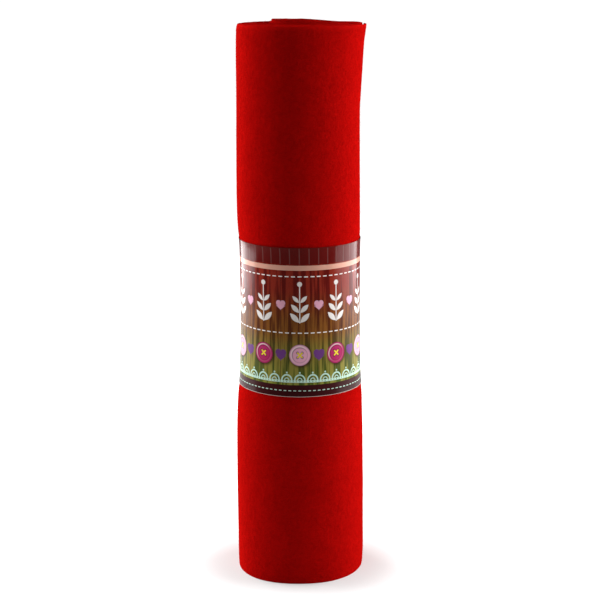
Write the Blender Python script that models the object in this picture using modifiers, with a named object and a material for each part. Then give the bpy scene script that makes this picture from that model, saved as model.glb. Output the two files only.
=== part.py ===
"""An upright roll of craft felt, wound on itself with no core and held by one paper band.

Metres, +Z up. The origin is on the surface that the roll stands on, under its middle. Seen from
the front, along +Y, the felt's free edge runs up the roll just behind the outline on the right.
"""

import math

import bmesh
import bpy

# Driving dimensions
CLOTH_WIDTH = 0.450        # the felt's cut width, which is the roll's height
CLOTH_THICKNESS = 0.0015   # one layer, the step at the free edge
FREE_EDGE_ANGLE = 12.0     # degrees from +X, seen from above
COLUMNS = 60               # faces round the roll

# The roll's outline, half-widths to the left and right of the origin at each height
SECTIONS = [
    # height, left,   right
    (0.0, 0.0519, 0.0520),
    (0.014, 0.0519, 0.0521),
    (0.040, 0.0523, 0.0520),
    (0.075, 0.0527, 0.0519),
    (0.110, 0.0525, 0.0515),
    (0.135, 0.0521, 0.0509),
    (0.150, 0.0512, 0.0505),
    (0.158, 0.0503, 0.0498),
    (0.166, 0.0496, 0.0492),
    (0.190, 0.0487, 0.0485),
    (0.225, 0.0483, 0.0480),
    (0.262, 0.0487, 0.0478),
    (0.276, 0.0490, 0.0478),
    (0.284, 0.0502, 0.0480),
    (0.300, 0.0511, 0.0478),
    (0.340, 0.0512, 0.0473),
    (0.385, 0.0508, 0.0470),
    (0.420, 0.0508, 0.0477),
    (0.440, 0.0507, 0.0481),
    (0.450, 0.0503, 0.0482),
]
RIM_INSET = 0.0005         # the soft rounding of the cloth's cut edges
RIM_HEIGHT = 0.0008

# The free edge's loose stretch stands away from the roll by this much at each height
LOOSE_LIFT = [
    # height, lift
    (0.0, 0.0008),
    (0.060, 0.0004),
    (0.140, 0.0),
    (0.385, 0.0),
    (0.411, 0.0011),
    (0.440, 0.0022),
    (0.450, 0.0034),
]
LOOSE_ARC = 68.0           # degrees of the outer turn that the loose stretch takes up

# The ends of the roll: groups of turns, parted by one shallow spiral groove
EYE_RADIUS = 0.0055
EYE_FLOOR_RADIUS = 0.0044
EYE_DEPTH = 0.012
GROUPS = 7
OUTER_GROUP = 0.0075       # radial width of the outermost group
INNER_GROUP = 0.0038       # and of the one round the eye
GROOVE_HALF_WIDTH = 0.0007
GROOVE_DEPTH = 0.0012
GROOVE_LINES = [
    # side, share of the depth, turns from the group outside the groove
    (1.0, 0.0, 0.0),
    (0.0, 1.0, 0.5),
    (-1.0, 0.0, 1.0),
]
GROUP_SHIFTS = [0.0, 0.0, 0.0005, 0.0001, 0.0006, 0.0, 0.0004, 0.0008, 0.0]
CORE_SHIFT = 0.0020        # the inner turns stand this much higher than the outer ones
CORE_RADIUS = 0.0285
CORE_OFFSET = 0.0066       # their middle lies this far to the right
CORE_SLOPE = 0.004         # width of the slope up to them

# The paper band
BAND_HEIGHTS = [0.1587, 0.166, 0.178, 0.195, 0.220, 0.248, 0.266, 0.2793]
BAND_GAP = 0.0003
BAND_THICKNESS = 0.0004


def clear_scene():
    for item in list(bpy.data.objects):
        bpy.data.objects.remove(item, do_unlink=True)


def lookup(table, height):
    """Straight-line reading of a table whose first column is a height."""
    if height <= table[0][0]:
        return table[0][1:]
    for low, high in zip(table, table[1:]):
        if height <= high[0]:
            share = (height - low[0]) / (high[0] - low[0])
            return [a + (b - a) * share for a, b in zip(low[1:], high[1:])]
    return table[-1][1:]


def smooth(share):
    share = min(max(share, 0.0), 1.0)
    return share * share * (3.0 - 2.0 * share)


def angle_of(column):
    """Columns run clockwise from the free edge, the way the cloth winds inward."""
    return math.radians(FREE_EDGE_ANGLE) - 2.0 * math.pi * column / COLUMNS


def centre_x(height):
    """How far the roll's middle lies to the right at this height."""
    left, right = lookup(SECTIONS, height)
    return (right - left) / 2.0


def body_radius(height):
    left, right = lookup(SECTIONS, height)
    return (left + right) / 2.0


def outer_radius(column, height):
    """One turn of a spiral: the radius falls by a layer from the free edge round to its foot."""
    turn = column / COLUMNS
    loose = 1.0 - smooth(turn * 360.0 / LOOSE_ARC)
    lift = lookup(LOOSE_LIFT, height)[0] * loose
    return body_radius(height) + CLOTH_THICKNESS * (0.5 - turn) + lift


def point_on(radius, column, height):
    angle = angle_of(column)
    return (
        centre_x(height) + radius * math.cos(angle),
        radius * math.sin(angle),
        height,
    )


def group_shift(turn):
    """How far the cloth is shifted upward, by its place along the groups' spiral."""
    first = min(int(turn), len(GROUP_SHIFTS) - 2)
    share = smooth(turn - first)
    return GROUP_SHIFTS[first] * (1.0 - share) + GROUP_SHIFTS[first + 1] * share


def core_shift(x, y):
    distance = math.hypot(x - CORE_OFFSET, y)
    return CORE_SHIFT * smooth((CORE_RADIUS + CORE_SLOPE - distance) / CORE_SLOPE)


def end_height(x, y, turn, depth, top):
    """Height of an end's surface; the cloth has one width, so a turn shifted up is so at both ends."""
    shift = group_shift(turn) + core_shift(x, y)
    return CLOTH_WIDTH + shift - depth if top else shift + depth


def end_rows(mesh, rim, top):
    """The end's points by column, from the rim inward: groove lines on a spiral, then the eye.

    Each column is a list of (label, vertex). The groove is three lines: its outer shoulder,
    its floor and its inner shoulder. It starts and ends in one point.
    """
    level = CLOTH_WIDTH if top else 0.0
    spiral_outer = body_radius(level) - CLOTH_THICKNESS / 2.0 - OUTER_GROUP
    pitch = (spiral_outer - EYE_RADIUS - INNER_GROUP) / GROUPS

    def groove(step):
        radius = spiral_outer - pitch * step / COLUMNS
        turn = step / COLUMNS
        if step in (0, GROUPS * COLUMNS):
            x, y, _ = point_on(radius, step, level)
            return [mesh.verts.new((x, y, end_height(x, y, turn, 0.0, top)))] * 3
        lines = []
        for side, share, further in GROOVE_LINES:
            x, y, _ = point_on(radius + side * GROOVE_HALF_WIDTH, step, level)
            z = end_height(x, y, turn + further, share * GROOVE_DEPTH, top)
            lines.append(mesh.verts.new((x, y, z)))
        return lines

    grooves = [groove(step) for step in range(GROUPS * COLUMNS + 1)]
    eye = []
    for column in range(COLUMNS):
        x, y, _ = point_on(EYE_RADIUS, column, level)
        eye.append(mesh.verts.new((x, y, end_height(x, y, GROUPS + 1, 0.0, top))))

    def labelled(step_of_group):
        rows = []
        for group in range(GROUPS):
            for line, vertex in enumerate(grooves[step_of_group(group)]):
                rows.append(((group, line), vertex))
        return rows

    columns = []
    for column in range(COLUMNS):
        rows = [("rim", rim[column])]
        rows += labelled(lambda group: group * COLUMNS + column)
        columns.append(rows + [("eye", eye[column])])
    # At the free edge the first column also holds the step's foot and the groove's last point
    columns[0].insert(1, ("foot", rim[COLUMNS]))
    columns[0].insert(-1, ("tip", grooves[-1][0]))
    # The last column joins the same points, one turn further along the spiral
    last = [("rim", rim[COLUMNS]), ("start", grooves[0][0])]
    last += labelled(lambda group: (group + 1) * COLUMNS)
    columns.append(last + [("eye", eye[0])])
    return columns, eye


def bridge(mesh, first, second, upward):
    """Faces between two columns; a point that only one column has joins the face beside it."""
    shared = [label for label, _ in first if label in dict(second)]
    for outer, inner in zip(shared, shared[1:]):
        corners = []
        for rows in (first, second):
            labels = [label for label, _ in rows]
            span = rows[labels.index(outer):labels.index(inner) + 1]
            corners.append([vertex for _, vertex in span])
        loop = corners[0] + corners[1][::-1]
        face = [v for place, v in enumerate(loop) if v is not loop[place - 1]]
        if len(face) > 2:
            mesh.faces.new(face if upward else face[::-1])


def close_eye(mesh, eye, level, upward):
    """The eye is a blind hollow that narrows to a small floor."""
    sink = -EYE_DEPTH if upward else EYE_DEPTH
    floor = []
    for column in range(COLUMNS):
        x, y, _ = point_on(EYE_FLOOR_RADIUS, column, level)
        floor.append(mesh.verts.new((x, y, level + CORE_SHIFT + sink)))
    for column in range(COLUMNS):
        after = (column + 1) % COLUMNS
        wall = [eye[column], floor[column], floor[after], eye[after]]
        mesh.faces.new(wall[::-1] if upward else wall)
    mesh.faces.new(floor[::-1] if upward else floor)


def felt_mesh():
    """The wound form: a spiral outline lofted through the sections, with its two ends."""
    mesh = bmesh.new()
    levels = [(0.0, -RIM_INSET), (RIM_HEIGHT, 0.0)]
    levels += [(row[0], 0.0) for row in SECTIONS[1:-1]]
    levels += [(CLOTH_WIDTH - RIM_HEIGHT, 0.0), (CLOTH_WIDTH, -RIM_INSET)]
    rings = []
    for height, inset in levels:
        ring = []
        for column in range(COLUMNS + 1):
            radius = outer_radius(column, height) + inset
            ring.append(mesh.verts.new(point_on(radius, column, height)))
        rings.append(ring)
    for lower, upper in zip(rings, rings[1:]):
        for column in range(COLUMNS):
            mesh.faces.new((lower[column], upper[column], upper[column + 1], lower[column + 1]))
        mesh.faces.new((lower[-1], upper[-1], upper[0], lower[0]))
    for rim, top in ((rings[0], False), (rings[-1], True)):
        columns, eye = end_rows(mesh, rim, top)
        for first, second in zip(columns, columns[1:]):
            bridge(mesh, first, second, top)
        close_eye(mesh, eye, CLOTH_WIDTH if top else 0.0, top)
    bmesh.ops.recalc_face_normals(mesh, faces=mesh.faces)
    return mesh


def band_radius(column, height):
    """The band follows the roll but spans the step behind the free edge in a straight line."""
    follow = outer_radius(column, height)
    edge = outer_radius(0, height)
    foot = outer_radius(COLUMNS, height)
    span = math.acos(foot / edge)
    behind = 2.0 * math.pi * (COLUMNS - column) / COLUMNS
    if behind < span:
        follow = max(follow, foot / math.cos(span - behind))
    return follow + BAND_GAP


def band_mesh():
    mesh = bmesh.new()
    rings = []
    for height in BAND_HEIGHTS:
        ring = []
        for column in range(COLUMNS):
            ring.append(mesh.verts.new(point_on(band_radius(column, height), column, height)))
        rings.append(ring)
    for lower, upper in zip(rings, rings[1:]):
        for column in range(COLUMNS):
            after = (column + 1) % COLUMNS
            mesh.faces.new((lower[column], upper[column], upper[after], lower[after]))
    return mesh


def material(name, colour, roughness):
    made = bpy.data.materials.new(name)
    made.use_nodes = True
    shader = made.node_tree.nodes["Principled BSDF"]
    shader.inputs["Base Color"].default_value = (*colour, 1.0)
    shader.inputs["Roughness"].default_value = roughness
    shader.inputs["Metallic"].default_value = 0.0
    return made


def add_piece(name, mesh, collection, look):
    data = bpy.data.meshes.new(name)
    mesh.to_mesh(data)
    mesh.free()
    data.materials.append(look)
    data.shade_smooth()
    data.set_sharp_from_angle(angle=math.radians(40.0))
    piece = bpy.data.objects.new(name, data)
    collection.objects.link(piece)
    return piece


def main():
    clear_scene()
    collection = bpy.data.collections.new("roll_of_felt")
    bpy.context.scene.collection.children.link(collection)

    felt = material("felt_red", (0.45, 0.004, 0.003), 1.0)
    paper = material("band_print", (0.20, 0.05, 0.04), 0.3)

    add_piece("felt_roll", felt_mesh(), collection, felt)

    band = add_piece("band", band_mesh(), collection, paper)
    wall = band.modifiers.new("wall", "SOLIDIFY")
    wall.thickness = BAND_THICKNESS
    wall.offset = 1.0


main()
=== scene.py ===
"""The looks of an upright roll of red craft felt, held by a printed, glossy paper band.

Metres, in the frame of the solids. The felt is one sheet wound into a spiral of about 28 turns,
and the band is a strip wrapped once round it and glued to itself at the back.
"""

import math

import bmesh
import bpy
import numpy as np
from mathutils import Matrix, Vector, noise


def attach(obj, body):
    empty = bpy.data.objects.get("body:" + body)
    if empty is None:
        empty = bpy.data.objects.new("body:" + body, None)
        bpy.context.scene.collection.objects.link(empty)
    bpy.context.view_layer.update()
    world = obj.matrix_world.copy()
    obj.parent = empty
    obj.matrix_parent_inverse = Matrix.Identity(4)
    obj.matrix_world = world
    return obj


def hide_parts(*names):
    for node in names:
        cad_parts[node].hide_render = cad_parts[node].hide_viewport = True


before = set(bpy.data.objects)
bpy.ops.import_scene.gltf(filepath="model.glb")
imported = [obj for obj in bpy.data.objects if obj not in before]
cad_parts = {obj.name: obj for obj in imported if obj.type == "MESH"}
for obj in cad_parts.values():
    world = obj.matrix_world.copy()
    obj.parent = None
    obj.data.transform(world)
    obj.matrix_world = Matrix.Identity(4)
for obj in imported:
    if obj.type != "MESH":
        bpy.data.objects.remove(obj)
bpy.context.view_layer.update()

# The cloth as it was cut
CLOTH_WIDTH = 0.450
CLOTH_LENGTH = 5.0
THICKNESS = 0.00126

# The wound form
FREE_EDGE_ANGLE = math.radians(12.0)
EYE_RADIUS = 0.0055
SECTIONS = np.array([
    # height, left,   right
    (0.0, 0.0511, 0.0509),
    (0.004, 0.0517, 0.0517),
    (0.014, 0.0519, 0.0521),
    (0.040, 0.0523, 0.0520),
    (0.075, 0.0527, 0.0519),
    (0.110, 0.0525, 0.0515),
    (0.135, 0.0521, 0.0509),
    (0.150, 0.0512, 0.0505),
    (0.158, 0.0503, 0.0498),
    (0.166, 0.0496, 0.0492),
    (0.190, 0.0487, 0.0485),
    (0.225, 0.0483, 0.0480),
    (0.262, 0.0487, 0.0478),
    (0.276, 0.0490, 0.0478),
    (0.284, 0.0502, 0.0480),
    (0.300, 0.0511, 0.0478),
    (0.340, 0.0512, 0.0473),
    (0.385, 0.0508, 0.0470),
    (0.420, 0.0508, 0.0477),
    (0.440, 0.0507, 0.0481),
    (0.450, 0.0503, 0.0482),
])
LOOSE_LIFT = np.array([
    # height, lift
    (0.0, 0.0008),
    (0.060, 0.0004),
    (0.140, 0.0),
    (0.385, 0.0),
    (0.411, 0.0011),
    (0.438, 0.0022),
    (0.450, 0.0042),
])
LOOSE_ARC = math.radians(68.0)
LIFT_FOLLOWED = 0.80       # by the turn beneath the loose end
LIFT_FADE = 1.6            # turns over which those further in follow it less and less
FOOT_SPREADS = [
    # angle in degrees, spread
    (-132.0, 0.0030),
    (-52.0, 0.0016),
]
FOOT_ARC = math.radians(55.0)
FOOT_HEIGHT = 0.010        # in which the spread falls to a third
FOOT_TURNS = (1.0, 2.0)    # the spread is whole for the first number of turns and fades over the next
TOP_LEAN = 0.020           # of its radius, by which each turn bends inward at its top edge
LEAN_HEIGHT = 0.0045
PROFILE_STEP = 0.001       # between the heights at which the tables are read
PROFILE_BLUR = 0.003

# How far the turns are shifted along the roll
GROUPS = 7
OUTER_GROUP = 0.0075       # radial width of the outermost group of turns
INNER_GROUP = 0.0038       # and of the one round the eye
GROUP_SHIFTS = [0.0, 0.0, 0.0005, 0.0001, 0.0006, 0.0, 0.0004, 0.0008, 0.0]
CORE_SHIFT = 0.0020        # the inner turns stand this much higher than the outer ones
CORE_RADIUS = 0.0285
CORE_OFFSET = 0.0080       # their middle lies this far to the right
CORE_SLOPE = 0.004         # width of the slope up to them
CORE_TILT = 0.045          # they stand out further on the left
UNDER_RISE = 0.0009        # of the cloth behind and under the free edge
TURN_JITTER = 0.00045
JITTER_TURNS = (0.9, 1.5)  # the jitter starts after the first number of turns and grows over the next

# How far the turns are from round
TURN_SWAY = 0.00022        # slow bulges and flat places
TURN_RIPPLE = 0.00006      # shorter ones
TURN_BUNCH = 0.00006       # turns lie closer together and further apart by groups
BUNCH_TURNS = 3.7
SWAY_TURNS = (1.2, 2.0)    # they start and grow in the same way

# The band
BAND_LOW = 0.1587
BAND_HIGH = 0.2793
BAND_GAP = 0.0003
BAND_THICKNESS = 0.00025
BAND_START = math.radians(100.0)    # where its under end lies, from the right, seen from above
BAND_OVERLAP = 0.016
BAND_CLEAR = 0.001         # the felt's lumps and fibres keep this far from its edges


def smooth(share):
    share = np.clip(share, 0.0, 1.0)
    return share * share * (3.0 - 2.0 * share)


def blurred(table, column):
    """A table's column as a smooth function of height."""
    heights = np.arange(0.0, CLOTH_WIDTH + PROFILE_STEP / 2.0, PROFILE_STEP)
    reach = int(3 * PROFILE_BLUR / PROFILE_STEP)
    kernel = np.exp(-0.5 * (np.arange(-reach, reach + 1) * PROFILE_STEP / PROFILE_BLUR) ** 2)
    values = np.pad(np.interp(heights, table[:, 0], table[:, column]), reach, mode="edge")
    soft = np.convolve(values, kernel / kernel.sum(), mode="valid")
    return lambda height: np.interp(height, heights, soft)


half_left = blurred(SECTIONS, 1)
half_right = blurred(SECTIONS, 2)
loose_lift = blurred(LOOSE_LIFT, 1)


def body_radius(height):
    return (half_left(height) + half_right(height)) / 2.0


def centre_x(height):
    return (half_right(height) - half_left(height)) / 2.0


MEAN_RADIUS = float(body_radius(SECTIONS[:, 0]).mean())
TURNS = CLOTH_LENGTH / (math.pi * (MEAN_RADIUS + EYE_RADIUS))


def cloth_radius(phi, height):
    """Radius of the cloth's outer face at the angle phi wound in from the free edge."""
    share = phi / (2.0 * math.pi * TURNS)
    outermost = body_radius(height) + THICKNESS / 2.0
    innermost = EYE_RADIUS + THICKNESS
    lift = loose_lift(height) * (1.0 - smooth(phi / LOOSE_ARC) + LIFT_FOLLOWED * near_free_edge(phi))
    radius = outermost * (1.0 - share) + innermost * share
    lean = TOP_LEAN * np.clip((height - CLOTH_WIDTH + LEAN_HEIGHT) / LEAN_HEIGHT, 0.0, 1.0) ** 2
    radius = radius * (1.0 - lean * smooth(phi / LOOSE_ARC))
    return radius + lift + turn_sway(phi) + foot_spread(phi, height)


def near_free_edge(phi):
    """From 1 to 0 with the distance from the place under the free edge, a turn or more further in."""
    turn = phi / (2.0 * math.pi)
    away = np.abs(phi - 2.0 * math.pi * np.maximum(np.round(turn), 1.0))
    return smooth(1.0 - away / LOOSE_ARC) * np.exp(np.minimum(0.0, 1.0 - turn) / LIFT_FADE)


def foot_spread(phi, height):
    """The outer turn spreads a little where it stands, on either side of the front."""
    spread = 0.0
    for side, amount in FOOT_SPREADS:
        turned = FREE_EDGE_ANGLE - phi - math.radians(side)
        away = np.abs(np.mod(turned + math.pi, 2.0 * math.pi) - math.pi)
        spread = spread + amount * smooth(1.0 - away / FOOT_ARC)
    whole, fade = FOOT_TURNS
    outer = 1.0 - smooth((phi / (2.0 * math.pi) - whole) / fade)
    return spread * outer * np.exp(-height / FOOT_HEIGHT)


def turn_sway(phi):
    """The inner turns aren't quite round: they bulge and flatten, and the gaps open and close."""
    turn = phi / (2.0 * math.pi)
    start, growth = SWAY_TURNS
    settled = smooth((turn - start) / growth)
    wide = np.sin(2.0 * phi + 0.31 * turn) + 0.6 * np.sin(3.0 * phi + 0.43 * turn + 1.1)
    small = np.sin(5.0 * phi + 0.9 * turn + 0.5) * np.sin(0.57 * turn)
    bunch = np.sin(2.0 * math.pi * turn / BUNCH_TURNS)
    return settled * (TURN_SWAY * wide + TURN_RIPPLE * small + TURN_BUNCH * bunch)


def group_shift(turn):
    """The shift of the group of turns at this place in the list, or between two groups."""
    turn = np.clip(turn, 0.0, len(GROUP_SHIFTS) - 1.001)
    first = turn.astype(int)
    share = smooth(turn - first)
    shifts = np.array(GROUP_SHIFTS)
    return shifts[first] * (1.0 - share) + shifts[first + 1] * share


def turn_shift(phi):
    """How far the cloth stands up at phi: groups of turns, the raised inner turns and slight jitter."""
    radius = cloth_radius(phi, CLOTH_WIDTH) - THICKNESS / 2.0
    spiral_outer = MEAN_RADIUS - OUTER_GROUP
    pitch = (spiral_outer - EYE_RADIUS - INNER_GROUP) / GROUPS
    angle = FREE_EDGE_ANGLE - phi
    x = radius * np.cos(angle)
    y = radius * np.sin(angle)
    distance = np.hypot(x - CORE_OFFSET, y)
    core = (CORE_SHIFT - CORE_TILT * x) * smooth((CORE_RADIUS + CORE_SLOPE - distance) / CORE_SLOPE)
    turn = phi / (2.0 * math.pi)
    jitter = TURN_JITTER * (0.5 + 0.3 * np.sin(turn * 2.39 + 0.4) + 0.2 * np.sin(turn * 5.1 + 1.7))
    start, growth = JITTER_TURNS
    settled = smooth((turn - start) / growth)
    rise = UNDER_RISE * near_free_edge(phi)
    return group_shift((spiral_outer - radius) / pitch + 1.0) + core + jitter * settled + rise


# The sheet of felt: one cross-section swept along the spiral, fine on the outer turn
EDGE_ROUND = 0.00035       # radius of the cut edges' rounding
COARSE_HEIGHTS = [0.040, 0.110, 0.150, 0.166, 0.225, 0.276, 0.300, 0.385, 0.4455, 0.4480]
COARSE_COLUMNS = 72        # columns in a turn of the inner cloth
FINE_COLUMNS = 200         # columns in the outer turn
FINE_ROWS = 176            # rows up its outer face
RIM_ROWS = [0.4468, 0.4490]
ROW_SPACING = 0.4          # least distance, in rows, of a fine row from a coarse one
FINE_END = 2.0 * math.pi + 0.25
LUMP_HEIGHT = 0.00045
LUMP_SIZES = [(0.045, 0.6), (0.014, 0.4)]
LUMPS_START = 0.05         # they grow over this angle from the free edge
LUMPS_END = 0.25           # and fade over this one before the cloth goes under it
LUMPS_FADE = 0.006         # and over this height towards the band
CUT_EDGE = 0.0004          # the free edge's rounding, along the cloth
CUT_EDGE_FLAT = 0.55       # of the thickness, between its two rounded corners

# The bake's map: the outer turn takes the first part of its width, and the section's parts its height
OUTER_SHARE = 0.86
MAP_ROWS = [(0.01, 0.80), (0.81, 0.90), (0.91, 0.93), (0.94, 1.0)]
MAP_START = 0.02           # points below this are at the section's start
CLOSING_CORNERS = 30       # the face that closes the section has fewer corners than this


def corner(depth, height, turn_in, turn_up, steps):
    """A rounded corner of the cloth's cut edge, as (share of the thickness, height) points."""
    points = []
    for step in range(steps + 1):
        bend = math.pi / 2.0 * step / steps
        across = EDGE_ROUND / THICKNESS * (1.0 - math.cos(bend))
        along = EDGE_ROUND * (1.0 - math.sin(bend))
        points.append((depth + turn_in * across, height - turn_up * along))
    return points


def cross_section(outer_heights, inner_heights, steps):
    """The cloth's section as a closed loop, with each point's place on the bake's map.

    It runs up the outer face, over the top edge, down the inner face and under the lower edge.
    """
    outer = [(0.0, z) for z in outer_heights]
    over = corner(0.0, CLOTH_WIDTH, 1.0, 1.0, steps) + corner(1.0, CLOTH_WIDTH, -1.0, 1.0, steps)[::-1]
    inner = [(1.0, z) for z in reversed(inner_heights)]
    under = corner(1.0, 0.0, -1.0, -1.0, steps) + corner(0.0, 0.0, 1.0, -1.0, steps)[::-1]
    loop = []
    for part, (first, last) in zip((outer, over, inner, under), MAP_ROWS):
        loop += [(*point, first + (last - first) * k / len(part)) for k, point in enumerate(part)]
    return loop


def lumps(points, amount):
    """Soft unevenness of the pressed felt, outward only."""
    raised = np.zeros(len(points))
    for size, share in LUMP_SIZES:
        values = [noise.noise(Vector(p) / size) for p in points]
        raised += share * (0.5 + 0.5 * np.array(values))
    return LUMP_HEIGHT * amount * raised


def lumps_seen(phi, height):
    """1 where the outer turn's face shows, and 0 under the band and the free edge."""
    below = smooth((BAND_LOW - BAND_CLEAR - height) / LUMPS_FADE)
    above = smooth((height - BAND_HIGH - BAND_CLEAR) / LUMPS_FADE)
    along = smooth(phi / LUMPS_START) * smooth((2.0 * math.pi - phi) / LUMPS_END)
    return np.maximum(below, above) * along


def place(radius, phi, height):
    """Points of the wound form at this distance from its middle."""
    angle = FREE_EDGE_ANGLE - phi
    x = centre_x(height) + radius * np.cos(angle)
    y = radius * np.sin(angle)
    return np.stack([x, y, np.broadcast_to(height, x.shape)], axis=-1)


def cloth_points(phi, loop, fine):
    """The section's points where the cloth has wound in by phi."""
    depth = np.array([point[0] for point in loop])
    height = np.array([point[1] for point in loop]) + turn_shift(np.array([phi]))[0]
    if phi < CUT_EDGE / MEAN_RADIUS / 2.0:
        depth = 0.5 + (depth - 0.5) * CUT_EDGE_FLAT
    radius = cloth_radius(phi, height) - THICKNESS * depth
    points = place(radius, phi, height)
    if fine:
        points = place(radius + lumps(points, lumps_seen(phi, height)), phi, height)
    return points


def cloth_sections():
    """The fine and the coarse section, and the fine point nearest to each coarse one."""
    coarse = cross_section(COARSE_HEIGHTS, COARSE_HEIGHTS, 1)
    rows = np.linspace(0.0, CLOTH_WIDTH, FINE_ROWS + 2)[1:-1]
    spare = CLOTH_WIDTH / FINE_ROWS * ROW_SPACING
    extra = [z for z in rows if min(abs(z - c) for c in COARSE_HEIGHTS) > spare]
    fine = cross_section(sorted(extra + COARSE_HEIGHTS + RIM_ROWS), COARSE_HEIGHTS, 3)
    nearest = []
    for point in coarse:
        nearest.append(min(range(len(fine)), key=lambda i: math.dist(fine[i][:2], point[:2])))
    return fine, coarse, nearest


def cloth_angles(total):
    """How far the cloth has wound in at each fine and each coarse column."""
    fine_count = int(FINE_COLUMNS * FINE_END / (2.0 * math.pi))
    fine = [0.0, CUT_EDGE / MEAN_RADIUS, *np.linspace(0.0, FINE_END, fine_count + 1)[1:]]
    coarse_count = int((total - FINE_END) / (2.0 * math.pi) * COARSE_COLUMNS)
    return fine, np.linspace(FINE_END, total, coarse_count + 1)[1:]


def wind_felt():
    """The sheet of felt as one closed skin, with its length and width as the map "cloth"."""
    fine, coarse, nearest = cloth_sections()
    total = 2.0 * math.pi * TURNS
    fine_phis, coarse_phis = cloth_angles(total)
    mesh = bmesh.new()
    cloth_map = mesh.loops.layers.uv.new("cloth")
    bake_map = mesh.loops.layers.uv.new("OFBake")
    seats = {}
    rings = []
    for phis, section in ((fine_phis, fine), (coarse_phis, coarse)):
        for phi in phis:
            wound = phi * (2.0 * MEAN_RADIUS - phi / total * (MEAN_RADIUS - EYE_RADIUS)) / 2.0
            along = OUTER_SHARE * phi / FINE_END
            if phi > FINE_END:
                along = OUTER_SHARE + (1.0 - OUTER_SHARE) * (phi - FINE_END) / (total - FINE_END)
            ring = [mesh.verts.new(p) for p in cloth_points(phi, section, section is fine)]
            rings.append(ring)
            for vertex, (depth, height, seat) in zip(ring, section):
                seats[vertex] = (wound, height + depth * THICKNESS, along, seat)

    faces = [mesh.faces.new(rings[0]), mesh.faces.new(rings[-1][::-1])]
    for first, second in zip(rings, rings[1:]):
        if len(first) == len(second):
            for i in range(len(first)):
                faces.append(mesh.faces.new((first[i - 1], second[i - 1], second[i], first[i])))
            continue
        for i in range(len(second)):
            start, end = nearest[i - 1], nearest[i]
            span = list(range(start, end + 1))
            if start > end:
                span = [*range(start, len(first)), *range(end + 1)]
            faces.append(mesh.faces.new([first[k] for k in reversed(span)] + [second[i - 1], second[i]]))
    for face in faces:
        last = max(seats[v][3] for v in face.verts)
        closing = len(face.verts) < CLOSING_CORNERS and last > MAP_ROWS[-1][0]
        for loop in face.loops:
            wound, height, along, seat = seats[loop.vert]
            loop[cloth_map].uv = (wound, height)
            loop[bake_map].uv = (along, 1.0 if closing and seat < MAP_START else seat)
    bmesh.ops.recalc_face_normals(mesh, faces=mesh.faces)
    return as_object("felt_cloth", mesh)


def as_object(name, mesh):
    data = bpy.data.meshes.new(name)
    mesh.to_mesh(data)
    mesh.free()
    data.shade_smooth()
    piece = bpy.data.objects.new(name, data)
    bpy.context.scene.collection.objects.link(piece)
    return piece


# Loose fibres: fine bent spikes standing out of the cloth
FIBRE_WIDTH = 0.00010
FACE_FIBRES = 18500
FACE_LENGTHS = (0.0006, 0.0016)
FACE_ROOT = 0.00006        # how deep they start in the felt
EDGE_FIBRES = 15500
EDGE_LENGTHS = (0.0004, 0.0010)
EDGE_ROOT = 0.00005
FREE_EDGE_FIBRES = 900
FIBRE_RISE = (0.25, 1.0)   # the first half, along the face's normal
FIBRE_SLANT = (0.3, 1.3)   # and to its side
FIBRE_BEND = (-1.0, 1.0)   # the second half's turn aside
FIBRE_DROOP = (-0.4, 0.3)  # and up or down
FIBRE_THINNESS = (0.5, 1.1)


def unit(vectors):
    return vectors / np.linalg.norm(vectors, axis=1, keepdims=True)


def grow_fibres(name, roots, normals, lengths, seed):
    """One piece of closed three-sided spikes, each bent in its middle."""
    rng = np.random.default_rng(seed)
    count = len(roots)
    side = unit(np.cross(normals, rng.normal(size=(count, 3))))
    other = unit(np.cross(normals, side))
    rise = normals * rng.uniform(*FIBRE_RISE, (count, 1))
    first = unit(rise + side * rng.uniform(*FIBRE_SLANT, (count, 1)))
    bend = other * rng.uniform(*FIBRE_BEND, (count, 1))
    droop = normals * rng.uniform(*FIBRE_DROOP, (count, 1))
    second = unit(first + bend + droop)
    length = rng.uniform(*lengths, (count, 1)) * rng.uniform(0.6, 1.0, (count, 1))
    across = unit(np.cross(first, other + 0.3 * side)) * rng.uniform(*FIBRE_THINNESS, (count, 1))
    upright = np.cross(first, across)
    middle = roots + first * length * 0.5
    tip = middle + second * length * 0.5
    middle[:, 2] = np.maximum(middle[:, 2], FIBRE_WIDTH)
    tip[:, 2] = np.maximum(tip[:, 2], FIBRE_WIDTH)
    points = np.empty((count, 7, 3))
    for k in range(3):
        turn = 2.0 * math.pi * k / 3.0
        offset = (across * math.cos(turn) + upright * math.sin(turn)) * FIBRE_WIDTH / 2.0
        points[:, k] = roots + offset
        points[:, k + 3] = middle + offset * 0.8
    points[:, 6] = tip
    base = np.arange(count)[:, None] * 7
    sides = [(k, (k + 1) % 3, (k + 1) % 3 + 3, k + 3) for k in range(3)]
    ends = [(k + 3, (k + 1) % 3 + 3, 6) for k in range(3)] + [(2, 1, 0)]
    faces = []
    for corners in sides + ends:
        faces += (base + np.array(corners)).tolist()
    data = bpy.data.meshes.new(name)
    data.from_pydata(points.reshape(-1, 3).tolist(), [], faces)
    piece = bpy.data.objects.new(name, data)
    bpy.context.scene.collection.objects.link(piece)
    return piece


def outward(phi):
    """The directions that point straight out of the roll."""
    angle = FREE_EDGE_ANGLE - phi
    return np.stack([np.cos(angle), np.sin(angle), np.zeros_like(angle)], axis=1)


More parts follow.
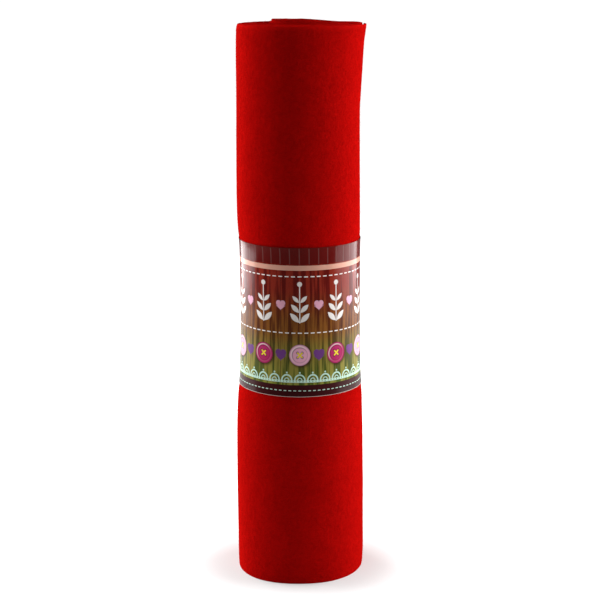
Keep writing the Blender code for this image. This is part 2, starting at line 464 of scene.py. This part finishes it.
def face_fibres(name, seed):
    """Fibres on the outer turn, where the band leaves it bare."""
    rng = np.random.default_rng(seed)
    phi = rng.uniform(0.01, 2.0 * math.pi - 0.03, FACE_FIBRES)
    bare = rng.uniform(0.0, CLOTH_WIDTH - (BAND_HIGH - BAND_LOW) - 1.5 * BAND_CLEAR, FACE_FIBRES)
    under_band = bare + BAND_CLEAR / 2.0
    over_band = bare + BAND_HIGH - BAND_LOW + BAND_CLEAR
    height = np.where(bare < BAND_LOW - BAND_CLEAR, under_band, over_band)
    radius = cloth_radius(phi, height)
    raised = lumps(place(radius, phi, height), lumps_seen(phi, height))
    roots = place(radius + raised - FACE_ROOT, phi, height)
    return grow_fibres(name, roots, outward(phi), FACE_LENGTHS, seed + 1)


def edge_fibres(name, seed):
    """Fibres on the cut edges: the top of every turn and the free end."""
    rng = np.random.default_rng(seed)
    share = rng.uniform(0.0, 1.0, EDGE_FIBRES) ** 0.8
    phi = 2.0 * math.pi * TURNS * (1.0 - np.sqrt(1.0 - share * 0.985))
    depth = rng.uniform(0.06, 0.94, EDGE_FIBRES)
    edge_top = CLOTH_WIDTH + turn_shift(phi)
    height = edge_top - EDGE_ROOT - EDGE_ROUND * np.abs(2.0 * depth - 1.0) ** 4
    roots = place(cloth_radius(phi, height) - THICKNESS * depth, phi, height)
    normals = unit(outward(phi) * (0.5 - depth)[:, None] * 1.2 + np.array([0.0, 0.0, 1.0]))

    height = rng.uniform(0.001, CLOTH_WIDTH - 0.001, FREE_EDGE_FIBRES)
    height = height[(height < BAND_LOW - BAND_CLEAR) | (height > BAND_HIGH + BAND_CLEAR)]
    start = np.zeros_like(height)
    depth = rng.uniform(0.25, 0.75, len(height))
    ends = place(cloth_radius(start, height) - THICKNESS * depth, start, height)
    ahead = outward(start - math.pi / 2.0)
    roots = np.concatenate([roots, ends])
    normals = np.concatenate([normals, ahead])
    return grow_fibres(name, roots, normals, EDGE_LENGTHS, seed + 1)


# The band: a strip wrapped clockwise from its under end, its upper end glued down over it
BAND_COLUMNS = 220
BAND_ROWS = 56
BAND_RIPPLE = 0.00012
BAND_EDGE_LIFT = 0.00035   # of the strip's long edges, in places
BAND_EDGE_WIDTH = 0.004
BAND_CLIMB = 0.5           # of the overlap's length, in which the strip climbs on its under end
BAND_GLUE = 0.00008        # between the two layers
BAND_LOOSE = 0.45          # of the overlap's length, which isn't glued
BAND_END_LIFT = 0.00030    # and how far its end stands off
BAND_CREASE = math.radians(50.0)    # edges sharper than this are shaded sharp
BAND_RADIUS = 0.04975      # by which the strip's print is laid out


def band_radius(angle, height):
    """Inner face of the band; it spans the step behind the felt's free edge in a straight line."""
    phi = np.mod(FREE_EDGE_ANGLE - angle, 2.0 * math.pi)
    follow = cloth_radius(phi, height)
    edge = cloth_radius(0.0, height)
    foot = cloth_radius(2.0 * math.pi, height)
    span = np.arccos(foot / edge)
    behind = 2.0 * math.pi - phi
    bridge = foot / np.cos(np.minimum(span - np.minimum(behind, span), 1.0))
    return np.where(behind < span, np.maximum(follow, bridge), follow) + BAND_GAP


def band_ripple(angle, height):
    """Slight waves of the tight paper, and edges that stand a little away in places."""
    waves = 0.5 + 0.5 * np.sin(angle * 23.0 + 2.0 * np.sin(height * 60.0))
    slow = 0.5 + 0.5 * np.sin(angle * 5.0 + height * 25.0)
    to_edge = np.minimum(height - BAND_LOW, BAND_HIGH - height)
    lift = np.exp(-to_edge / BAND_EDGE_WIDTH) * (0.5 + 0.5 * np.sin(angle * 3.0 + 0.8)) ** 2
    return BAND_RIPPLE * waves * slow + BAND_EDGE_LIFT * lift


def wrap_band():
    """The strip as one closed skin, with its length and width as the map "wrap"."""
    mesh = bmesh.new()
    uv = mesh.loops.layers.uv.new("wrap")
    heights = np.linspace(BAND_LOW, BAND_HIGH, BAND_ROWS)
    overlap = BAND_OVERLAP / MEAN_RADIUS
    sweep = np.linspace(0.0, 2.0 * math.pi + overlap, BAND_COLUMNS + 1)
    rings = []
    places = {}
    for turned in sweep:
        angle = BAND_START - turned
        past = (turned - 2.0 * math.pi) / overlap
        over = smooth(past / BAND_CLIMB + 1.0)
        loose = smooth((past - 1.0) / BAND_LOOSE + 1.0)
        rise = over * (BAND_THICKNESS + BAND_GLUE) + loose * BAND_END_LIFT
        inner = band_radius(angle, heights) + band_ripple(angle, heights) + rise
        ring = []
        for radius, levels in ((inner + BAND_THICKNESS, heights), (inner[::-1], heights[::-1])):
            x = centre_x(levels) + radius * math.cos(angle)
            y = radius * math.sin(angle)
            for point in zip(x, y, levels):
                vertex = mesh.verts.new(point)
                places[vertex] = ((BAND_BACK - turned) * BAND_RADIUS, point[2] - BAND_LOW)
                ring.append(vertex)
        rings.append(ring)
    mesh.faces.new(rings[0])
    mesh.faces.new(rings[-1][::-1])
    for first, second in zip(rings, rings[1:]):
        for i in range(len(first)):
            mesh.faces.new((first[i - 1], second[i - 1], second[i], first[i]))
    for face in mesh.faces:
        for loop in face.loops:
            loop[uv].uv = places[loop.vert]
    bmesh.ops.recalc_face_normals(mesh, faces=mesh.faces)
    piece = as_object("paper_band", mesh)
    piece.data.set_sharp_from_angle(angle=BAND_CREASE)
    return piece


def plain_material(name, colour, roughness):
    made = bpy.data.materials.new(name)
    made.use_nodes = True
    shader = made.node_tree.nodes["Principled BSDF"]
    shader.inputs["Base Color"].default_value = (*colour, 1.0)
    shader.inputs["Roughness"].default_value = roughness
    return made, shader


# The band's print, in millimetres: x from the front's middle to the right, y up from its foot
BAND_BACK = math.pi / 2.0 + BAND_START      # how far the strip has turned at the front's middle
BAND_ROUGHNESS = 0.17
BAND_SPECULAR = 0.09
PAPER = (0.80, 0.74, 0.68)
DARK_STRIP = (0.040, 0.005, 0.006)
TOP_STRIP = (0.120, 0.005, 0.004)
PINK_LINE = (0.70, 0.36, 0.27)
MINT = (0.55, 0.78, 0.66)
WHITE_THREAD = (0.92, 0.89, 0.86)
PINK = (0.79, 0.40, 0.53)
MAGENTA = (0.42, 0.022, 0.12)
YELLOW = (0.92, 0.72, 0.05)
PURPLE = (0.15, 0.045, 0.21)
GROUND = [
    # height, light streaks,         dark streaks
    (12.0, (0.260, 0.250, 0.045), (0.065, 0.100, 0.012)),
    (34.0, (0.260, 0.200, 0.035), (0.070, 0.070, 0.012)),
    (56.0, (0.240, 0.085, 0.015), (0.090, 0.022, 0.005)),
    (90.0, (0.250, 0.022, 0.011), (0.120, 0.006, 0.004)),
]
REPEATS = 10
PITCH = 2000.0 * math.pi * BAND_RADIUS / REPEATS
BAND_END = 1000.0 * BAND_RADIUS * (BAND_BACK - 2.0 * math.pi - BAND_OVERLAP / MEAN_RADIUS)
PAPER_EDGE = 0.35          # bare paper along the strip's foot and its upper end
SOFT_EDGE = 0.12

# Its rows, from the foot up
FOOT_STRIP_TOP = 9.6
MINT_STITCHES = (5.0, PITCH / 8.0, 2.2, 0.7, MINT)      # height, pitch, length, width, ink
LACE_TAPE = (11.6, 13.4)
LACE_EYELET = 12.5
LACE_TIP = 19.7
LOW_HEARTS = (33.5, 4.0, PITCH / 2.0, PURPLE)           # height, size, start, ink
BUTTON_HEIGHT = 34.0
WHITE_STITCHES = [
    # height, pitch, length, width, ink
    (97.5, PITCH / 6.0, 3.2, 0.8, WHITE_THREAD),
    (52.0, PITCH / 6.0, 3.2, 0.8, WHITE_THREAD),
]
SPRIG = (60.0, 90.0)
SPRIG_BERRY = 91.5
LEAVES = [
    # foot, length
    (60.0, 5.2),
    (68.0, 4.6),
    (76.0, 3.8),
]
HIGH_HEARTS = (74.0, 3.4, PITCH / 2.0, PINK)
PINK_LINE_ROW = (102.4, 106.4)
TOP_STRIP_FOOT = 107.2
FAINT_LINES = (107.4, 120.0)

# A button: radii and distances from its middle
BUTTON_RADIUS = 8.6
BUTTON_EDGE = (8.2, 8.7)
BUTTON_SHADOW = 9.2
BUTTON_GLEAM = (6.6, 7.5)
BUTTON_GROOVE = (5.7, 6.5)
HOLE_PLACE = 1.9
HOLE_RADIUS = 1.25
THREAD_HALF = 0.62         # half the thread's width
THREAD_REACH = 2.9
THREAD_SIDES = (0.42, 0.66)
DIAGONAL = 0.7071


class Number:
    """A value in a material's node tree, with arithmetic that adds nodes."""

    def __init__(self, tree, socket):
        self.tree = tree
        self.socket = socket

    def apply(self, operation, *others):
        node = self.tree.nodes.new("ShaderNodeMath")
        node.operation = operation
        for slot, value in zip(node.inputs, (self, *others)):
            if isinstance(value, Number):
                self.tree.links.new(value.socket, slot)
            else:
                slot.default_value = value
        return Number(self.tree, node.outputs[0])

    def __add__(self, other):
        return self.apply("ADD", other)

    def __sub__(self, other):
        return self.apply("SUBTRACT", other)

    def __mul__(self, other):
        return self.apply("MULTIPLY", other)

    def __truediv__(self, other):
        return self.apply("DIVIDE", other)

    def __neg__(self):
        return self * -1.0

    def __abs__(self):
        return self.apply("ABSOLUTE")

    def sine(self):
        return self.apply("SINE")

    def larger(self, other):
        return self.apply("MAXIMUM", other)

    def length_with(self, other):
        return (self * self + other * other).apply("SQRT")

    def repeated(self, pitch, start=0.0):
        """The distance from the nearest of a row of places, from -pitch/2 to pitch/2."""
        return ((self - start) / pitch + 0.5).apply("FRACT") * pitch - pitch / 2.0

    def below(self, edge, soft=SOFT_EDGE):
        """1 where this is smaller than edge, 0 where it is larger, with a soft change."""
        node = self.tree.nodes.new("ShaderNodeMapRange")
        node.interpolation_type = "SMOOTHSTEP"
        node.inputs["From Min"].default_value = edge + soft
        node.inputs["From Max"].default_value = edge - soft
        self.tree.links.new(self.socket, node.inputs["Value"])
        return Number(self.tree, node.outputs["Result"])

    def above(self, edge, soft=SOFT_EDGE):
        return -self.below(edge, soft) + 1.0

    def between(self, low, high, soft=SOFT_EDGE):
        return self.below(high, soft) - self.below(low, soft)


def painted(tree, under, colour, mask):
    """The colour laid over under where mask is 1."""
    node = tree.nodes.new("ShaderNodeMix")
    node.data_type = "RGBA"
    tree.links.new(mask.socket, node.inputs["Factor"])
    for slot, value in (("A", under), ("B", colour)):
        if isinstance(value, tuple):
            node.inputs[slot].default_value = (*value, 1.0)
        else:
            tree.links.new(value, node.inputs[slot])
    return node.outputs["Result"]


def streaks(tree, x, y, across, along, detail=2.0):
    """Noise drawn out up the band: about across wide and along high, in millimetres."""
    join = tree.nodes.new("ShaderNodeCombineXYZ")
    tree.links.new((x / across).socket, join.inputs[0])
    tree.links.new((y / along).socket, join.inputs[1])
    pattern = tree.nodes.new("ShaderNodeTexNoise")
    pattern.inputs["Scale"].default_value = 1.0
    pattern.inputs["Detail"].default_value = detail
    tree.links.new(join.outputs[0], pattern.inputs["Vector"])
    return Number(tree, pattern.outputs["Fac"])


def ramp(tree, y, column):
    """The ground's colour up the band, from one column of its table."""
    colour = GROUND[0][column]
    for low, high in zip(GROUND, GROUND[1:]):
        middle = (low[0] + high[0]) / 2.0
        colour = painted(tree, colour, high[column], y.above(middle, (high[0] - low[0]) / 2.0))
    return colour


def ground_print(tree, x, y):
    """Vertical streaks, olive at the foot, brown in the middle and maroon above."""
    grain = streaks(tree, x, y, 3.2, 60.0, 3.0).above(0.50, 0.08)
    fine = streaks(tree, x, y, 0.7, 25.0) * 0.5 + 0.75
    colour = painted(tree, ramp(tree, y, 2), ramp(tree, y, 1), grain * fine)
    joints = abs(x.repeated(PITCH, PITCH / 2.0)).below(0.35, 0.25) * 0.55
    return painted(tree, colour, DARK_STRIP, joints)


def button_print(tree, colour, x, y):
    """Four-hole buttons, pink and magenta in turn, sewn on with a yellow cross."""
    height = y - BUTTON_HEIGHT
    for start, face in ((0.0, PINK), (PITCH, MAGENTA)):
        across = x.repeated(2.0 * PITCH, start)
        radius = across.length_with(height)
        shadow = (across - 0.7).length_with(height + 0.9).below(BUTTON_SHADOW, 1.4) * 0.75
        colour = painted(tree, colour, DARK_STRIP, shadow)
        colour = painted(tree, colour, face, radius.below(BUTTON_RADIUS))
        deep = tuple(0.45 * part for part in face)
        colour = painted(tree, colour, deep, radius.between(*BUTTON_EDGE, 0.25) * 0.8)
        lit = (across * -0.5 + height * 0.6).below(1.0, 3.5)
        groove = radius.between(*BUTTON_GROOVE, 0.25) * (lit * -0.5 + 0.9)
        colour = painted(tree, colour, deep, groove)
        gleam = radius.between(*BUTTON_GLEAM, 0.35) * (lit * -0.5 + 0.55)
        colour = painted(tree, colour, WHITE_THREAD, gleam)
        hole = abs(abs(across) - HOLE_PLACE).length_with(abs(height) - HOLE_PLACE)
        colour = painted(tree, colour, deep, hole.below(HOLE_RADIUS, 0.2))
        slope = (across + height) * DIAGONAL
        other = (across - height) * DIAGONAL
        for along, aside in ((slope, other), (other, slope)):
            thread = abs(aside).below(THREAD_HALF) * abs(along).below(THREAD_REACH)
            colour = painted(tree, colour, YELLOW, thread)
            edge = abs(aside).between(*THREAD_SIDES) * abs(along).below(THREAD_REACH)
            colour = painted(tree, colour, tuple(0.5 * part for part in YELLOW), edge * 0.6)
    return colour


def heart_print(tree, colour, x, y, middle, size, start, ink):
    """A row of hearts: inside where (a^2 + b^2 - 1)^3 is less than a^2 b^3."""
    a = x.repeated(PITCH, start) / size
    b = (y - middle) / size
    core = a * a + b * b - 1.0
    inside = (core * core * core - a * a * b * b * b).below(0.0, 0.05)
    return painted(tree, colour, ink, inside)


def lace_print(tree, colour, x, y):
    """A mint lace edging: a tape, scallops with an eyelet in each, and a dot on every tip."""
    pitch = PITCH / 3.0
    across = x.repeated(pitch)
    tape = y.between(*LACE_TAPE)
    top = LACE_TAPE[1]
    arch = across.length_with((y - top) * 0.9).between(3.5, 4.6) * y.above(top - 0.4)
    inner = across.length_with((y - top) * 0.9).between(1.4, 2.1) * y.above(top - 0.2)
    tip = across.length_with(y - LACE_TIP).below(0.75)
    holes = x.repeated(pitch / 4.0).length_with(y - LACE_EYELET).below(0.45, 0.15)
    lace = tape.larger(arch).larger(inner).larger(tip) - holes * 0.8
    return painted(tree, colour, MINT, lace.larger(0.0))


def sprig_print(tree, colour, x, y):
    """Sprigs in white satin stitch: a stem, three pairs of leaves and a berry."""
    across = abs(x.repeated(PITCH))
    sprig = across.below(0.42) * y.between(*SPRIG)
    for foot, length in LEAVES:
        up = y - foot
        along = (across * 0.70 + up * 0.714 - length - 0.8) / length
        aside = across * -0.714 + up * 0.70
        leaf = abs(aside) - (along * along * -1.0 + 1.0) * (length * 0.40)
        sprig = sprig.larger(leaf.below(0.0) * abs(along).below(1.0, 0.02))
    sprig = sprig.larger(across.length_with(y - SPRIG_BERRY).below(2.0))
    stitches = ((across + y) * 9.0).sine() * 0.10 + 0.88
    return painted(tree, colour, WHITE_THREAD, sprig * stitches)


def stitch_row(tree, colour, x, y, middle, pitch, length, width, ink):
    """A row of running stitches."""
    dash = abs(x.repeated(pitch)).below(length / 2.0) * abs(y - middle).below(width / 2.0)
    return painted(tree, colour, ink, dash)


def band_material():
    """Glossy printed paper; every pattern is drawn by the nodes."""
    made, shader = plain_material("band_print", TOP_STRIP, BAND_ROUGHNESS)
    shader.inputs["Specular IOR Level"].default_value = BAND_SPECULAR
    tree = made.node_tree
    wrap = tree.nodes.new("ShaderNodeUVMap")
    wrap.uv_map = "wrap"
    split = tree.nodes.new("ShaderNodeSeparateXYZ")
    tree.links.new(wrap.outputs[0], split.inputs[0])
    x = Number(tree, split.outputs[0]) * 1000.0
    y = Number(tree, split.outputs[1]) * 1000.0

    colour = ground_print(tree, x, y)
    colour = sprig_print(tree, colour, x, y)
    colour = heart_print(tree, colour, x, y, *HIGH_HEARTS)
    for row in WHITE_STITCHES:
        colour = stitch_row(tree, colour, x, y, *row)
    colour = heart_print(tree, colour, x, y, *LOW_HEARTS)
    colour = button_print(tree, colour, x, y)
    colour = lace_print(tree, colour, x, y)
    colour = painted(tree, colour, DARK_STRIP, y.below(FOOT_STRIP_TOP))
    colour = stitch_row(tree, colour, x, y, *MINT_STITCHES)
    colour = painted(tree, colour, PINK_LINE, y.between(*PINK_LINE_ROW))
    colour = painted(tree, colour, TOP_STRIP, y.above(TOP_STRIP_FOOT))
    lines = abs(x.repeated(PITCH / 4.0)).below(0.4, 0.3) * y.between(*FAINT_LINES) * 0.06
    colour = painted(tree, colour, PAPER, lines)
    colour = painted(tree, colour, PAPER, y.below(PAPER_EDGE) * 0.6)
    colour = painted(tree, colour, PAPER, x.below(BAND_END + PAPER_EDGE) * 0.7)
    tree.links.new(colour, shader.inputs["Base Color"])

    sheet = streaks(tree, x, y, 26.0, 60.0)
    bump = tree.nodes.new("ShaderNodeBump")
    bump.inputs["Distance"].default_value = 0.0006
    bump.inputs["Strength"].default_value = 0.5
    tree.links.new(sheet.socket, bump.inputs["Height"])
    tree.links.new(bump.outputs["Normal"], shader.inputs["Normal"])
    return made


# The felt's look
FELT_RED = (0.46, 0.0028, 0.0022)
FELT_DEEP = (0.275, 0.0013, 0.0011)
FELT_CUT = (0.50, 0.0032, 0.0026)
# painted shade: the cut edges turn to this darker red towards the middle of the roll, standing in for
# the shade among the inner turns
FELT_CUT_SHADE = (0.29, 0.0019, 0.0015)
# painted highlight: a paler red over the top few millimetres of the cloth, standing in for light caught
# along the rim
FELT_RIM_HIGHLIGHT = (0.66, 0.0056, 0.0044)
FELT_SHEEN = (1.0, 0.018, 0.01)
SHEEN_WEIGHT = 0.35
SHEEN_ROUGHNESS = 0.35
CUT_SHEEN_WEIGHT = 0.05    # of the fibres on the cut edges
# how strongly the painted rim highlight is laid on
RIM_HIGHLIGHT_SHARE = 0.28

# Where its tones change and how softly, up the cloth for the first two and along it for the third
CUT_TOP = (CLOTH_WIDTH - 0.0003, 0.0002)
# the heights over which the painted rim highlight comes in
RIM_HIGHLIGHT_TOP = (CLOTH_WIDTH - 0.0024, 0.0018)
# along the cloth, where the painted shade on the cut edges sets in and how softly
CUT_SHADE_FADES = (2.2, 1.4)

# Its grain, as noise of this many waves in a metre
TANGLE = [
    # direction in degrees, waves
    (20.0, 2600.0),
    (80.0, 2300.0),
    (140.0, 2500.0),
    (-20.0, 2900.0),
]
TANGLE_TWIST = 0.8
TANGLE_STRETCH = 9.0
TANGLE_DEPTH = 0.0005
PEBBLES = 330.0
PEBBLE_DEPTH = 0.0004
PATCHES = 90.0
FIBRE_GRAIN = 9000.0
FIBRE_DEPTH = 0.00002


def felt_material():
    """Matte felt: mottled red, with short tangled fibres in the bump and a red sheen."""
    made, shader = plain_material("felt_red", FELT_RED, 1.0)
    shader.inputs["Specular IOR Level"].default_value = 0.0
    shader.inputs["Sheen Weight"].default_value = SHEEN_WEIGHT
    shader.inputs["Sheen Roughness"].default_value = SHEEN_ROUGHNESS
    shader.inputs["Sheen Tint"].default_value = (*FELT_SHEEN, 1.0)
    tree = made.node_tree
    solid = tree.nodes.new("ShaderNodeTexCoord").outputs["Object"]
    cloth = tree.nodes.new("ShaderNodeUVMap")
    cloth.uv_map = "cloth"

    def texture(where, scale, detail, distortion=0.0, turn=0.0, stretch=1.0):
        """Noise of scale waves in a metre, drawn out by stretch in the direction turn."""
        squash = tree.nodes.new("ShaderNodeMapping")
        squash.vector_type = "TEXTURE"
        squash.inputs["Rotation"].default_value = (0.0, 0.0, turn)
        squash.inputs["Scale"].default_value = (stretch / scale, 1.0 / scale, 1.0 / scale)
        pattern = tree.nodes.new("ShaderNodeTexNoise")
        pattern.inputs["Scale"].default_value = 1.0
        pattern.inputs["Detail"].default_value = detail
        pattern.inputs["Distortion"].default_value = distortion
        tree.links.new(where, squash.inputs["Vector"])
        tree.links.new(squash.outputs[0], pattern.inputs["Vector"])
        return Number(tree, pattern.outputs["Fac"])

    def bump(height, distance, before=None):
        made_bump = tree.nodes.new("ShaderNodeBump")
        made_bump.inputs["Distance"].default_value = distance
        tree.links.new(height.socket, made_bump.inputs["Height"])
        if before:
            tree.links.new(before, made_bump.inputs["Normal"])
        return made_bump.outputs["Normal"]

    tangle = None
    for turn, scale in TANGLE:
        layer = texture(cloth.outputs[0], scale, 1.0, TANGLE_TWIST, math.radians(turn), TANGLE_STRETCH)
        tangle = tangle.larger(layer) if tangle else layer
    pebbles = texture(solid, PEBBLES, 2.0)
    patches = texture(solid, PATCHES, 2.0)
    shade = tangle.above(0.60, 0.09) * 0.60 + pebbles.above(0.5, 0.2) * 0.22
    shade = shade + patches.above(0.5, 0.25) * 0.18
    tone = painted(tree, FELT_DEEP, FELT_RED, shade)
    split = tree.nodes.new("ShaderNodeSeparateXYZ")
    tree.links.new(cloth.outputs[0], split.inputs[0])
    up = Number(tree, split.outputs[1])
    # painted highlight: the top edge of every turn is paler, standing in for the light the rim catches
    painted_rim_highlight = up.above(*RIM_HIGHLIGHT_TOP) * RIM_HIGHLIGHT_SHARE
    cut = up.above(*CUT_TOP)
    # 1 on the outer turns and 0 towards the middle, where the cut edges take the painted shade
    outer = Number(tree, split.outputs[0]).below(*CUT_SHADE_FADES)
    # lay on the painted rim highlight
    tone = painted(tree, tone, FELT_RIM_HIGHLIGHT, painted_rim_highlight)
    # the cut edges, with painted shade deepening them towards the middle of the roll
    tone = painted(tree, tone, painted(tree, FELT_CUT_SHADE, FELT_CUT, outer), cut)
    tree.links.new(tone, shader.inputs["Base Color"])
    normal = bump(tangle, TANGLE_DEPTH, bump(pebbles, PEBBLE_DEPTH))
    tree.links.new(normal, shader.inputs["Normal"])
    return made


def fibre_material(name, colour, sheen):
    """The look of loose fibres: one plain colour with a fine grain."""
    made, shader = plain_material(name, colour, 1.0)
    shader.inputs["Specular IOR Level"].default_value = 0.0
    shader.inputs["Sheen Weight"].default_value = sheen
    shader.inputs["Sheen Tint"].default_value = (*FELT_SHEEN, 1.0)
    tree = made.node_tree
    grain = tree.nodes.new("ShaderNodeTexNoise")
    grain.inputs["Scale"].default_value = FIBRE_GRAIN
    bump = tree.nodes.new("ShaderNodeBump")
    bump.inputs["Distance"].default_value = FIBRE_DEPTH
    tree.links.new(grain.outputs["Fac"], bump.inputs["Height"])
    tree.links.new(bump.outputs["Normal"], shader.inputs["Normal"])
    return made


# The studio
CAMERA_PLACE = (0.0, -1.2267, 0.5016)
CAMERA_PITCH = math.radians(12.632)
CAMERA_FOCAL = 1532.9      # pixels, for a frame 600 pixels wide
FRAME_WIDTH = 600
SENSOR = 36.0
WHITE = 1.05               # a glow that the camera sees as white
WORLD_LIGHT = 0.08
FLOOR_RADIUS = 3.0
FLOOR_CORNERS = 96
FLOOR_COLOUR = (0.55, 0.55, 0.55)
FLOOR_NEAR = 0.055         # the floor's own shading shows within this distance
FLOOR_FAR = 0.14           # and is white from this one on
FLOOR_GLOW = 0.27          # near the roll
SOFTBOXES = [
    # name, azimuth, elevation, distance, (width, height), radiance
    ("softbox_right", 104.0, 9.0, 0.95, (1.20, 0.74), 7.9),
    ("softbox_left", -119.0, 9.0, 0.95, (1.10, 0.74), 8.6),
    ("softbox_top", -50.0, 76.0, 1.7, (1.2, 1.2), 2.6),
    ("softbox_front", 0.0, 10.0, 1.6, (1.2, 0.6), 0.55),
]


def add_camera():
    data = bpy.data.cameras.new("camera")
    data.sensor_width = SENSOR
    data.lens = CAMERA_FOCAL / FRAME_WIDTH * SENSOR
    camera = bpy.data.objects.new("camera", data)
    camera.location = CAMERA_PLACE
    camera.rotation_euler = (math.pi / 2.0 - CAMERA_PITCH, 0.0, 0.0)
    bpy.context.scene.collection.objects.link(camera)
    bpy.context.scene.camera = camera


def floor_look():
    """Matte floor whose glow, seen by the camera alone, fades it into the white background."""
    made, shader = plain_material("floor_white", FLOOR_COLOUR, 0.9)
    shader.inputs["Specular IOR Level"].default_value = 0.0
    shader.inputs["Emission Color"].default_value = (1.0, 1.0, 1.0, 1.0)
    tree = made.node_tree
    geometry = tree.nodes.new("ShaderNodeNewGeometry")
    distance = tree.nodes.new("ShaderNodeVectorMath")
    distance.operation = "LENGTH"
    fade = tree.nodes.new("ShaderNodeMapRange")
    fade.interpolation_type = "SMOOTHSTEP"
    fade.inputs["From Min"].default_value = FLOOR_NEAR
    fade.inputs["From Max"].default_value = FLOOR_FAR
    fade.inputs["To Min"].default_value = FLOOR_GLOW
    fade.inputs["To Max"].default_value = WHITE
    path = tree.nodes.new("ShaderNodeLightPath")
    share = tree.nodes.new("ShaderNodeMath")
    share.operation = "MULTIPLY"
    tree.links.new(geometry.outputs["Position"], distance.inputs[0])
    tree.links.new(distance.outputs["Value"], fade.inputs["Value"])
    tree.links.new(fade.outputs["Result"], share.inputs[0])
    tree.links.new(path.outputs["Is Camera Ray"], share.inputs[1])
    tree.links.new(share.outputs[0], shader.inputs["Emission Strength"])
    return made


def add_floor():
    bpy.ops.mesh.primitive_circle_add(vertices=FLOOR_CORNERS, radius=FLOOR_RADIUS, fill_type="NGON")
    floor = bpy.context.object
    floor.name = "floor"
    floor.data.materials.append(floor_look())


def add_softbox(name, azimuth, elevation, distance, size, radiance, aim):
    """A rectangular light; azimuth 0 is on the camera's side and 90 is to the right."""
    width, height = size
    data = bpy.data.lights.new(name, "AREA")
    data.shape = "RECTANGLE"
    data.size = width
    data.size_y = height
    data.energy = radiance * math.pi * width * height
    light = bpy.data.objects.new(name, data)
    a = math.radians(azimuth)
    e = math.radians(elevation)
    back = Vector((math.sin(a) * math.cos(e), -math.cos(a) * math.cos(e), math.sin(e)))
    light.location = Vector(aim) + back * distance
    light.rotation_euler = back.to_track_quat("Z", "Y").to_euler()
    light.visible_camera = False
    bpy.context.scene.collection.objects.link(light)


def add_world():
    """White to the camera, and dim to the object, so that the front stays in shade."""
    world = bpy.data.worlds.new("studio")
    world.use_nodes = True
    bpy.context.scene.world = world
    tree = world.node_tree
    tree.nodes.clear()
    out = tree.nodes.new("ShaderNodeOutputWorld")
    path = tree.nodes.new("ShaderNodeLightPath")
    seen = tree.nodes.new("ShaderNodeBackground")
    dim = tree.nodes.new("ShaderNodeBackground")
    mix = tree.nodes.new("ShaderNodeMixShader")
    seen.inputs["Color"].default_value = (1.0, 1.0, 1.0, 1.0)
    seen.inputs["Strength"].default_value = WHITE
    dim.inputs["Color"].default_value = (1.0, 1.0, 1.0, 1.0)
    dim.inputs["Strength"].default_value = WORLD_LIGHT
    tree.links.new(path.outputs["Is Camera Ray"], mix.inputs[0])
    tree.links.new(dim.outputs[0], mix.inputs[1])
    tree.links.new(seen.outputs[0], mix.inputs[2])
    tree.links.new(mix.outputs[0], out.inputs[0])


def add_studio():
    add_camera()
    add_floor()
    add_world()
    middle = (0.0, 0.0, CLOTH_WIDTH / 2.0)
    for softbox in SOFTBOXES:
        add_softbox(*softbox, middle)
    bpy.context.scene.view_settings.view_transform = "Standard"


add_studio()

felt_look = felt_material()
band_look = band_material()

cloth = wind_felt()
cloth.data.materials.append(felt_look)
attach(cloth, "root")
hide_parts("felt_roll")

fibre_look = fibre_material("felt_fibre", FELT_RED, SHEEN_WEIGHT)
cut_look = fibre_material("felt_cut_fibre", FELT_CUT, CUT_SHEEN_WEIGHT)
on_face = face_fibres("felt_fibres", 11)
on_edges = edge_fibres("edge_fibres", 21)
for fibres, look in ((on_face, fibre_look), (on_edges, cut_look)):
    fibres.data.materials.append(look)
    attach(fibres, "root")
    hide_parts("felt_roll")

band = wrap_band()
band.data.materials.append(band_look)
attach(band, "root")
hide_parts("band")
